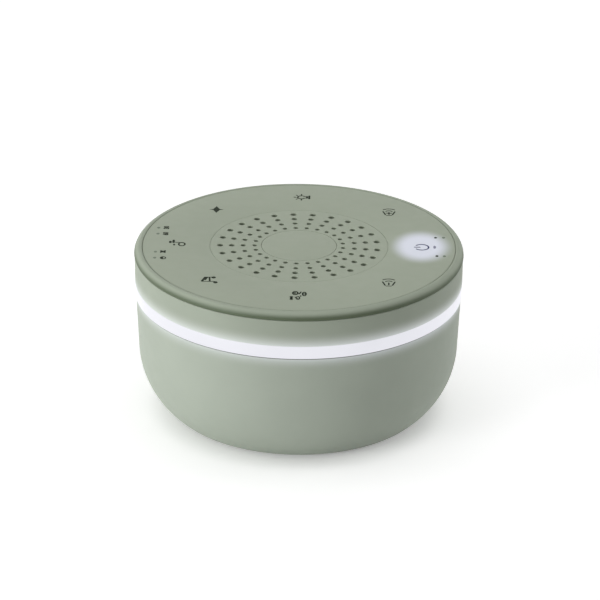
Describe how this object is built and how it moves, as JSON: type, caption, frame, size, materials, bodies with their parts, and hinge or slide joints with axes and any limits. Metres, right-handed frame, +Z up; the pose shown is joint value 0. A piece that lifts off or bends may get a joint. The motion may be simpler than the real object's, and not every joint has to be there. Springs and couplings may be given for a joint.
{
  "type": "nursery speaker",
  "caption": "Round free-standing nursery speaker: low bowl, lit band, flat touch top with a perforated grille and a glowing power key.",
  "frame": {"origin": "on the table, under the centre of the foot ring", "axes": "+Z up along the round body's axis, +X towards the power key, -X towards the charging inlet"},
  "size_m": [0.12, 0.12, 0.0636],
  "materials": {
    "housing_plastic": "sage green moulded plastic, fine matt texture",
    "panel_plastic": "sage green moulded plastic, smooth matt",
    "milky_plastic": "milky diffusing plastic",
    "white_plastic": "white moulded plastic",
    "grey_rubber": "soft matt rubber",
    "black_rubber": "soft black rubber",
    "black_cloth": "thin black acoustic cloth",
    "brown_cloth": "stiffened woven cloth",
    "black_foam": "dense black foam",
    "black_paper": "pressed black paper pulp",
    "brown_paper": "hard pressed brown paper board",
    "circuit_board": "green solder mask on fibreglass",
    "chip_black": "black moulded epoxy",
    "led_white": "small white lights",
    "zinc_steel": "zinc plated steel",
    "ferrite": "dark grey ferrite",
    "copper": "enamelled copper wire",
    "capacitor_can": "drawn aluminium can",
    "cell_wrap": "blue heat-shrink sleeve",
    "ribbon_film": "amber flexible film",
    "lead_black": "black wire insulation",
    "lead_red": "red wire insulation"
  },
  "bodies": {
    "housing": {"base_shell": "housing_plastic", "upper_shell": "housing_plastic", "top_cover": "housing_plastic", "touch_panel": "panel_plastic", "grille_disc": "panel_plastic", "centre_disc": "panel_plastic", "grille_cloth": "black_cloth", "rubber_foot": "grey_rubber", "light_ring": "milky_plastic", "power_light_guide": "milky_plastic", "light_tray": "white_plastic", "light_board": "circuit_board", "light_leds": "led_white", "light_socket": "white_plastic", "touch_board": "circuit_board", "touch_pads": "black_foam", "touch_chips": "chip_black", "indicator_leds": "led_white", "power_leds": "led_white", "speaker_gasket": "black_foam", "speaker_basket": "zinc_steel", "speaker_screws": "zinc_steel", "top_plate": "zinc_steel", "pole_yoke": "zinc_steel", "magnet": "ferrite", "surround": "black_rubber", "spider": "brown_cloth", "terminal_strip": "brown_paper", "main_board": "circuit_board", "board_screws": "zinc_steel", "board_chips": "chip_black", "board_capacitors": "capacitor_can", "board_coil": "ferrite", "board_connectors": "white_plastic", "usb_socket": "zinc_steel", "battery_cell": "cell_wrap", "battery_cradle": "white_plastic", "housing_screws": "zinc_steel", "touch_ribbon": "ribbon_film", "light_lead": "lead_black", "speaker_lead": "lead_red", "battery_lead": "lead_red"},
    "cone_assembly": {"cone": "black_paper", "dust_cap": "black_paper", "coil_former": "brown_paper", "coil_winding": "copper"}
  },
  "joints": [
    {"name": "cone_travel", "type": "slide", "parent": "housing", "child": "cone_assembly", "axis": [0, 0, 1], "range_m": [-0.0015, 0.0015], "stiffness_N_per_m": 1200, "deforming": ["surround", "spider"]}
  ]
}
